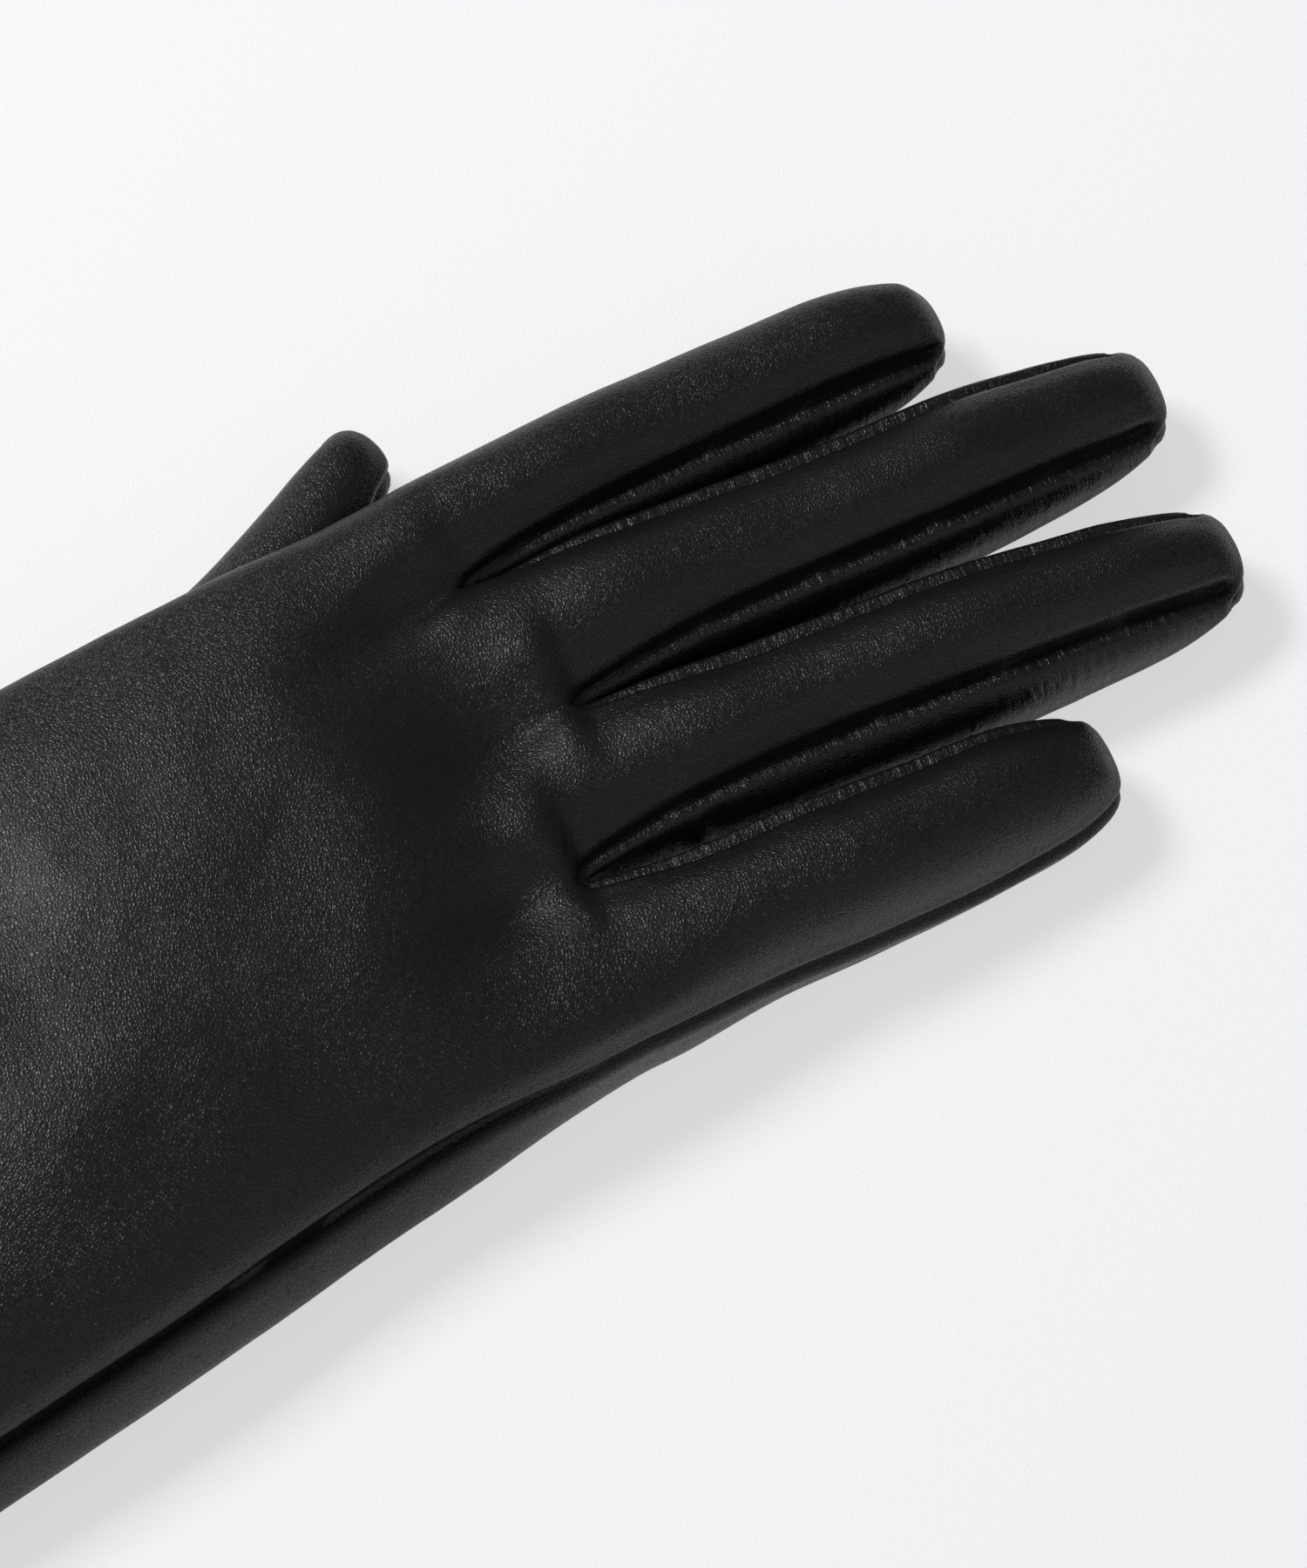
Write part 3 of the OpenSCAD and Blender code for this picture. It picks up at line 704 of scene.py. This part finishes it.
def side_strip_fold(p):
    """One short fold across the side strip between the ring and little fingers."""
    lean = p.x - RING.root.x - 7.5 - 0.16 * (p.z - 9)
    over = p.y - CROTCHES[2].y
    there = smooth(over, 0.4, 1.8) * (1 - smooth(over, 4.5, 7)) * (1 - smooth(p.z, 11.5, 14))
    return there * (0.7 * math.exp(-(lean / 0.85) ** 2) - 0.5 * math.exp(-((lean - 2.0) / 1.1) ** 2))


def soft_creases(p, normal):
    """Slow unevenness of worked leather, and a few longer folds."""
    q = p * 0.034
    height = 1.2 * noise.noise(q) + 0.40 * noise.noise(q * 2.3 + Vector((9, 2, 4)))
    height += 0.10 * noise.noise(q * 7 + Vector((1, 7, 3)))
    return height * (0.35 + 0.65 * max(normal.z, 0))


def work_leather(bm, sewn=True):
    """Shapes the folds and creases, and on the outside leather the grooves along the seams."""
    bm.normal_update()
    tree = seam_tree(bm)
    moves = {}
    for v in bm.verts:
        p = v.co / MM
        distance = tree.find(v.co)[2] / MM
        height = seam_groove(distance) if sewn and distance < 5 else 0
        height += crotch_fold(p) + side_strip_fold(p) + soft_creases(p, v.normal)
        if p.z < 1.0:
            height = min(height, 0) * 0.3
        moves[v] = v.normal * height * MM
    for v, move in moves.items():
        v.co += move
        v.co.z = max(v.co.z, 0.02 * MM)


worked_skin = smooth_skin.copy()
work_leather(worked_skin)
work_leather(smooth_skin, sewn=False)

# ---- leather pieces -----------------------------------------------------------------


def cut_out(bm, wanted):
    """A copy of the skin that keeps only the faces of the wanted leather pieces."""
    numbers = {piece_names.index(name) for name in wanted}
    piece = bm.copy()
    layer = piece.faces.layers.int["piece"]
    bmesh.ops.delete(piece, geom=[f for f in piece.faces if f[layer] not in numbers], context="FACES")
    return piece


def thick_piece(name, bm, thickness):
    """Gives a sheet its thickness on the inner side, and keeps its cut edges sharp."""
    obj = to_object(name, bm)
    wall = obj.modifiers.new("thickness", "SOLIDIFY")
    wall.thickness = thickness * MM
    wall.offset = -1
    bm = applied(obj)
    for e in bm.edges:
        e.smooth = not e.is_manifold or e.calc_face_angle() < math.radians(62)
    return to_object(name, bm)


# Steps of the rolled cuff edge: how far each goes forward and inwards, in millimetres
CUFF_ROLL = [(-0.35, 0.25), (0.0, 0.45), (0.5, 0.3)]


def roll_cuff_edge(bm):
    """Turns the leather's end over in a small round fold, towards the inside of the cuff."""
    rim = [e for e in bm.edges if e.is_boundary and all(v.co.x < (cuff_edge + 0.5) * MM for v in e.verts)]
    for forward, inwards in CUFF_ROLL:
        bm.normal_update()
        made = bmesh.ops.extrude_edge_only(bm, edges=rim)["geom"]
        rim = [g for g in made if isinstance(g, bmesh.types.BMEdge)]
        middle = Vector((0, hand_middle(cuff_edge), 11)) * MM
        for v in {v for e in rim for v in e.verts}:
            way = (middle - v.co) * Vector((0, 1, 1))
            v.co += way.normalized() * inwards * MM + Vector((forward * MM, 0, 0))


LEATHER_PIECES = {}
for name in piece_names:
    bm = cut_out(worked_skin, [name])
    if name == "trank":
        roll_cuff_edge(bm)
    obj = thick_piece(name + ".leather", bm, LEATHER)
    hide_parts(name)
    "fourchette_leather" if "fourchette" in name or "fork" in name else "leather"
    LEATHER_PIECES[name] = obj

# ---- lining, hem, thread and label --------------------------------------------------


def region(name):
    """The part of the glove that a leather piece belongs to: the hand, or a finger's base or tip."""
    if name in ("trank", "thumb_gusset") or name.endswith("_fork"):
        return "hand"
    return name.split("_")[0] + "_" + name.split("_")[-1]


def trim(bm, place, way):
    """Cuts a sheet along a plane and drops the side that the plane faces."""
    geom = bm.verts[:] + bm.edges[:] + bm.faces[:]
    bmesh.ops.bisect_plane(bm, geom=geom, plane_co=Vector(place) * MM, plane_no=way, clear_outer=True)


def inset(bm, depth):
    """Moves a sheet inwards, in millimetres."""
    bm.normal_update()
    moves = {v: v.normal * -depth * MM for v in bm.verts}
    for v, move in moves.items():
        v.co += move


inner_skin = smooth_skin.copy()
inset(inner_skin, LINING_SPACE)
hem_skin = smooth_skin.copy()
inset(hem_skin, LEATHER + 0.15)

LININGS = {}
for part_name in sorted({region(name) for name in piece_names}):
    bm = cut_out(inner_skin, [name for name in piece_names if region(name) == part_name])
    node = "hand_lining" if part_name == "hand" else "_lining_".join(part_name.split("_"))
    if part_name == "hand":
        trim(bm, (cuff_edge + HEM - 1, 0, 0), (-1, 0, 0))
    LININGS[node] = thick_piece(node + ".cloth", bm, LINING)
    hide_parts(node)

bm = cut_out(hem_skin, ["trank"])
trim(bm, (cuff_edge + HEM, 0, 0), (1, 0, 0))
hem = thick_piece("cuff_hem.leather", bm, LEATHER)
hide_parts("cuff_hem")

label_x = cuff_edge + HEM + 8
label_y = hand_middle(label_x)
bm = cut_out(inner_skin, ["trank"])
inset(bm, LINING + 0.1)
trim(bm, (label_x, 0, 0), (-1, 0, 0))
trim(bm, (label_x + LABEL_LENGTH, 0, 0), (1, 0, 0))
trim(bm, (0, label_y - LABEL_WIDTH / 2, 0), (0, -1, 0))
trim(bm, (0, label_y + LABEL_WIDTH / 2, 0), (0, 1, 0))
trim(bm, (0, 0, LABEL_ABOVE), (0, 0, -1))
label = thick_piece("size_label.tape", bm, 0.4)
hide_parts("size_label")


def chains(edges):
    """Runs of joined edges, each as an ordered list of points."""
    left = set(edges)
    ends = {}
    for e in edges:
        for v in e.verts:
            ends[v] = ends.get(v, 0) + 1
    runs = []
    while left:
        start = next((e for e in edges if e in left and any(ends[v] != 2 for v in e.verts)), None)
        e = start or next(e for e in edges if e in left)
        v = next((v for v in e.verts if ends[v] != 2), e.verts[0])
        run = [v.co - v.normal * THREAD_DEPTH * MM]
        while e:
            left.discard(e)
            v = e.other_vert(v)
            run.append(v.co - v.normal * THREAD_DEPTH * MM)
            e = next((n for n in v.link_edges if n in left), None) if ends[v] == 2 else None
        runs.append(run)
    return runs


def tube(name, runs, radius):
    """Round cords along runs of points, as one mesh."""
    curve = bpy.data.curves.new(name, "CURVE")
    curve.dimensions = "3D"
    curve.bevel_depth = radius * MM
    curve.bevel_resolution = 1
    curve.use_fill_caps = True
    for run in runs:
        spline = curve.splines.new("POLY")
        spline.points.add(len(run) - 1)
        for point, place in zip(spline.points, run):
            point.co = (*place, 1)
    obj = bpy.data.objects.new(name, curve)
    bpy.context.collection.objects.link(obj)
    bm = applied(obj)
    return to_object(name, bm)


def seam_owner(e, layer):
    """The region whose thread sews this seam."""
    names = {piece_names[f[layer]] for f in e.link_faces}
    regions = {region(n) for n in names}
    if len(regions) == 1:
        return regions.pop()
    return "hand"


THREADS = {}
worked_skin.normal_update()
layer = worked_skin.faces.layers.int["piece"]
seams = {}
for e in worked_skin.edges:
    if e.seam:
        seams.setdefault(seam_owner(e, layer), []).append(e)
for part_name, edges in sorted(seams.items()):
    node = "side_seam_thread" if part_name == "hand" else "_seam_thread_".join(part_name.split("_"))
    THREADS[node] = tube(node + ".thread", chains(edges), THREAD_RADIUS)
    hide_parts(node)


def stitch_line(bm, x):
    """The line across the back of the cuff at x, as (distance, point) and (distance, normal) stations."""
    sheet = bm.copy()
    geom = sheet.verts[:] + sheet.edges[:] + sheet.faces[:]
    cut = bmesh.ops.bisect_plane(sheet, geom=geom, plane_co=(x * MM, 0, 0), plane_no=(1, 0, 0))["geom_cut"]
    sheet.normal_update()
    line = [g for g in cut if isinstance(g, bmesh.types.BMVert) and g.co.z > STITCHES_ABOVE * MM]
    line.sort(key=lambda v: v.co.y)
    points, normals, walked = [], [], 0
    for n, v in enumerate(line):
        walked += (v.co - line[n - 1].co).length if n else 0
        points.append((walked, v.co.copy()))
        normals.append((walked, v.normal.copy()))
    sheet.free()
    return points, normals


# How high the thread lies over the leather, as (share of a stitch, millimetres)
STITCH_RISE = [(0, -0.25), (0.15, 0.06), (0.5, 0.16), (0.85, 0.06), (1, -0.25)]


def stitches(points, normals):
    """Short runs of thread; each one dips into the leather at both ends."""
    runs = []
    for n in range(int(points[-1][0] / (STITCH_PITCH * MM))):
        run = []
        for t, lift in STITCH_RISE:
            walked = (n * STITCH_PITCH + t * STITCH_LENGTH) * MM
            run.append(between(points, walked) + between(normals, walked) * lift * MM)
        runs.append(run)
    return runs


row = stitches(*stitch_line(worked_skin, cuff_edge + HEM - 2))
stitching = tube("cuff_stitching.thread", row, STITCH_RADIUS)
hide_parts("cuff_stitching")


# Start and end of the first bend, as distances from the crotch or from the thumb's root
FINGER_BEND = (2.7, 18)
THUMB_BEND = (1.2, 20)


def thumb_on_line(u):
    """A point on the thumb's line, in metres."""
    return (THUMB_ROOT + THUMB_ALONG * u) * MM


def ride_or_blend(obj, name):
    """A piece of the hand rides on it; a finger's or thumb's piece keeps its place baked into its points."""
    for finger in FINGERS:
        if not name.startswith(finger.name + "_") or name.endswith("_fork"):
            continue
        if name.endswith("_base"):
            start, end = (finger.point(u, 0, 0) for u in FINGER_BEND)
            start * MM
            end * MM
            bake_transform(obj)
        else:
            cut = 0.5 * (ROOT_SPLIT + finger.second)
            start = finger.point(cut + 0.1, 0, 0)
            end = finger.point(2 * finger.second - cut, 0, 0)
            start * MM
            end * MM
            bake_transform(obj)
        return
    if name.startswith("thumb_") and name != "thumb_gusset":
        if name.endswith("_base"):
            start, end = (thumb_on_line(u) for u in THUMB_BEND)
            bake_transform(obj)
        else:
            end = thumb_on_line(2 * THUMB_SECOND - THUMB_SPLIT)
            thumb_on_line(THUMB_SPLIT + 0.1)
            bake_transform(obj)
        return
    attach(obj, "hand")


for pieces in (LEATHER_PIECES, LININGS, THREADS):
    for name, obj in pieces.items():
        ride_or_blend(obj, name)
for obj in (hem, label, stitching):
    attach(obj, "hand")

# ---- finishes -----------------------------------------------------------------------


class Finish:
    """A material, and the one way its nodes are made."""

    def __init__(self, name):
        self.material = bpy.data.materials.new(name)
        self.material.use_nodes = True
        self.tree = self.material.node_tree
        self.tree.nodes.clear()

    def node(self, kind, settings, sockets, output=0):
        """Adds a node; a socket's value is a number, a colour or another node's output."""
        node = self.tree.nodes.new(kind)
        for key, value in settings.items():
            setattr(node, key, value)
        for key, value in sockets.items():
            if isinstance(value, Level):
                self.tree.links.new(value.socket, node.inputs[key])
            else:
                node.inputs[key].default_value = value
        return Level(self, node.outputs[output])


class Level:
    """A socket that can be added to and multiplied."""

    def __init__(self, finish, socket):
        self.finish, self.socket = finish, socket

    def maths(self, operation, a, b):
        return self.finish.node("ShaderNodeMath", {"operation": operation}, {0: a, 1: b})

    def __add__(self, other):
        return self.maths("ADD", self, other)

    __radd__ = __add__

    def __mul__(self, other):
        return self.maths("MULTIPLY", self, other)

    __rmul__ = __mul__


SOFT_STEP = {"interpolation_type": "SMOOTHSTEP"}


def two_shades(f, factor, shade, darker):
    """The shade, mixed with a darker one of the same colour."""
    return f.node("ShaderNodeMix", {"data_type": "RGBA"},
                  {"Factor": factor, "A": (*[c * darker for c in shade], 1), "B": (*shade, 1)}, 2)


def nappa(name, shade, grain, crease, gloss):
    """Dressed lambskin: fine pebbles with creases between them, deeper where it is gathered, with painted
    shade in the creases.
    """
    f = Finish(name)
    place = f.node("ShaderNodeTexCoord", {}, {}, "Object")
    drift = f.node("ShaderNodeTexNoise", {}, {"Vector": place, "Scale": 900, "Detail": 2}, "Color")
    pull = f.node("ShaderNodeVectorMath", {"operation": "MULTIPLY_ADD"},
                  {0: drift, 1: (0.0007, 0.0007, 0.0007), 2: place})
    edges = {"feature": "DISTANCE_TO_EDGE"}
    cells = f.node("ShaderNodeTexVoronoi", dict(edges), {"Vector": pull, "Scale": 2200}, "Distance")
    large = f.node("ShaderNodeTexVoronoi", dict(edges), {"Vector": pull, "Scale": 900}, "Distance")
    slow = f.node("ShaderNodeTexNoise", {}, {"Vector": place, "Scale": 45, "Detail": 3}, "Fac")
    fine = f.node("ShaderNodeTexNoise", {}, {"Vector": place, "Scale": 3200, "Detail": 2}, "Fac")
    pebble = f.node("ShaderNodeMapRange", dict(SOFT_STEP), {"Value": cells, "From Max": 0.38}, "Result")
    gully = f.node("ShaderNodeMapRange", dict(SOFT_STEP), {"Value": large, "From Max": 0.12}, "Result")
    wide = f.node("ShaderNodeMapping", {}, {"Vector": place, "Scale": (950, 130, 260)})
    ripple = f.node("ShaderNodeTexNoise", {}, {"Vector": wide, "Scale": 1.0, "Detail": 3}, "Fac")
    patch = f.node("ShaderNodeMapRange", {}, {"Value": slow, "From Min": 0.35, "From Max": 0.7}, "Result")
    height = pebble * (0.6 + patch * 0.4) * grain + gully * (patch * grain * 0.3)
    height = height + fine * (0.12 * grain) + ripple * crease
    dull = f.node("ShaderNodeMapRange", {},
                  {"Value": height, "From Max": grain, "To Min": gloss + 0.14, "To Max": gloss}, "Result")
    # Darker in random patches, which is the leather's own tone, and painted shade in the creases between the
    # pebbles
    tone_and_crease_shade = two_shades(f, patch * 0.5 + pebble * 0.3, shade, 0.72)
    bump = f.node("ShaderNodeBump", {}, {"Height": height, "Strength": 1.0, "Distance": 0.001})
    skin = f.node("ShaderNodeBsdfPrincipled", {},
                  {"Base Color": tone_and_crease_shade, "Roughness": dull + patch * 0.05, "Normal": bump,
                   "Specular IOR Level": 0.5})
    # A near-black matt surface along the pebbles' edges: painted shade in the creases of the grain
    line = f.node("ShaderNodeMapRange", dict(SOFT_STEP),
                  {"Value": cells, "From Max": 0.15, "To Min": 0.42, "To Max": 0.0}, "Result")
    hollow = f.node("ShaderNodeBsdfDiffuse", {}, {"Color": (0.005, 0.0047, 0.0048, 1), "Roughness": 1.0})
    finish_material(f, f.node("ShaderNodeMixShader", {}, {0: line, 1: skin, 2: hollow}))
    return f.material


def finish_material(f, skin):
    """Ends a material with its surface."""
    out = f.tree.nodes.new("ShaderNodeOutputMaterial")
    f.tree.links.new(skin.socket, out.inputs["Surface"])


def plain(name, shade, roughness, glow=0):
    """A matt material with a fine unevenness."""
    f = Finish(name)
    place = f.node("ShaderNodeTexCoord", {}, {}, "Object")
    grain = f.node("ShaderNodeTexNoise", {}, {"Vector": place, "Scale": 2500, "Detail": 2}, "Fac")
    bump = f.node("ShaderNodeBump", {}, {"Height": grain, "Strength": 0.5, "Distance": 0.0003})
    skin = f.node("ShaderNodeBsdfPrincipled", {},
                  {"Base Color": (*shade, 1), "Roughness": roughness, "Normal": bump,
                   "Emission Color": (*shade, 1), "Emission Strength": glow})
    finish_material(f, skin)
    return f.material


def woven_tape(name, shade, roughness):
    """A plain woven tape: fine ribs that cross each other."""
    f = Finish(name)
    place = f.node("ShaderNodeTexCoord", {}, {}, "Object")
    warp = f.node("ShaderNodeTexWave", {"bands_direction": "X"}, {"Vector": place, "Scale": 900}, "Fac")
    weft = f.node("ShaderNodeTexWave", {"bands_direction": "Y"}, {"Vector": place, "Scale": 700}, "Fac")
    weave = warp * 0.6 + weft * 0.4
    bump = f.node("ShaderNodeBump", {}, {"Height": weave, "Strength": 0.6, "Distance": 0.0002})
    tint = two_shades(f, weave, shade, 0.7)
    skin = f.node("ShaderNodeBsdfPrincipled", {},
                  {"Base Color": tint, "Roughness": roughness, "Normal": bump})
    finish_material(f, skin)
    return f.material


# Grain is the height of the pebbles and crease that of the gathers, in millimetres
black_nappa = nappa("black nappa", (0.0062, 0.0058, 0.0060), 0.048, 0.02, 0.32)
soft_nappa = nappa("gathered nappa", (0.0060, 0.0056, 0.0058), 0.052, 0.34, 0.36)
for name, obj in LEATHER_PIECES.items():
    obj.data.materials.clear()
    obj.data.materials.append(soft_nappa if "fourchette" in name or "fork" in name else black_nappa)
cloth = plain("knitted lining", (0.02, 0.02, 0.021), 0.85)
silk = plain("sewing thread", (0.008, 0.008, 0.008), 0.6)
for obj in LININGS.values():
    obj.data.materials.append(cloth)
for obj in (*THREADS.values(), stitching):
    obj.data.materials.append(silk)
label.data.materials.append(woven_tape("woven label", (0.62, 0.61, 0.58), 0.75))
hem.data.materials.append(black_nappa)

paper = plain("studio floor", (0.42, 0.424, 0.432), 0.9, glow=1.42)

# ---- floor, light and camera --------------------------------------------------------

bm = bmesh.new()
bmesh.ops.create_grid(bm, x_segments=1, y_segments=1, size=3)
floor = to_object("studio_floor", bm)
floor.data.materials.append(paper)

world = bpy.data.worlds.new("soft room")
bpy.context.scene.world = world
world.use_nodes = True
world.node_tree.nodes["Background"].inputs["Color"].default_value = (0.97, 0.985, 1.0, 1)
world.node_tree.nodes["Background"].inputs["Strength"].default_value = 0.15


def far_light(name, towards, strength, angle):
    """A wide, even light that comes from far away."""
    data = bpy.data.lights.new(name, "SUN")
    data.energy = strength
    data.angle = math.radians(angle)
    place_light(name, data, Vector((0, 0, 1)), towards)


def soft_box(name, place, size, power):
    """A soft box that faces the glove."""
    data = bpy.data.lights.new(name, "AREA")
    data.shape = "RECTANGLE"
    data.size, data.size_y = size
    data.energy = power
    place_light(name, data, Vector(place), place)


def place_light(name, data, place, towards):
    """Puts a light at its place; towards is the way from the glove to the light."""
    light = bpy.data.objects.new(name, data)
    light.location = place
    light.rotation_euler = Vector(towards).to_track_quat("Z", "Y").to_euler()
    bpy.context.collection.objects.link(light)


soft_box("window", (-0.48, 0.70, 1.0), (0.5, 0.36), 12.0)
far_light("white_wall", (0.4, -0.9, 0.65), 0.4, 80)

view_from = Vector((-0.0911, -0.3542, 0.8337))
view_at = Vector((0.0538, -0.0026, 0.018))
camera_data = bpy.data.cameras.new("camera")
camera_data.lens = 169.2
camera_data.sensor_width = 36
camera = bpy.data.objects.new("camera", camera_data)
camera.location = view_from
camera.rotation_euler = (view_at - view_from).to_track_quat("-Z", "Y").to_euler()
bpy.context.collection.objects.link(camera)
bpy.context.scene.camera = camera
bpy.context.scene.view_settings.view_transform = "Standard"

bpy.context.view_layer.update()
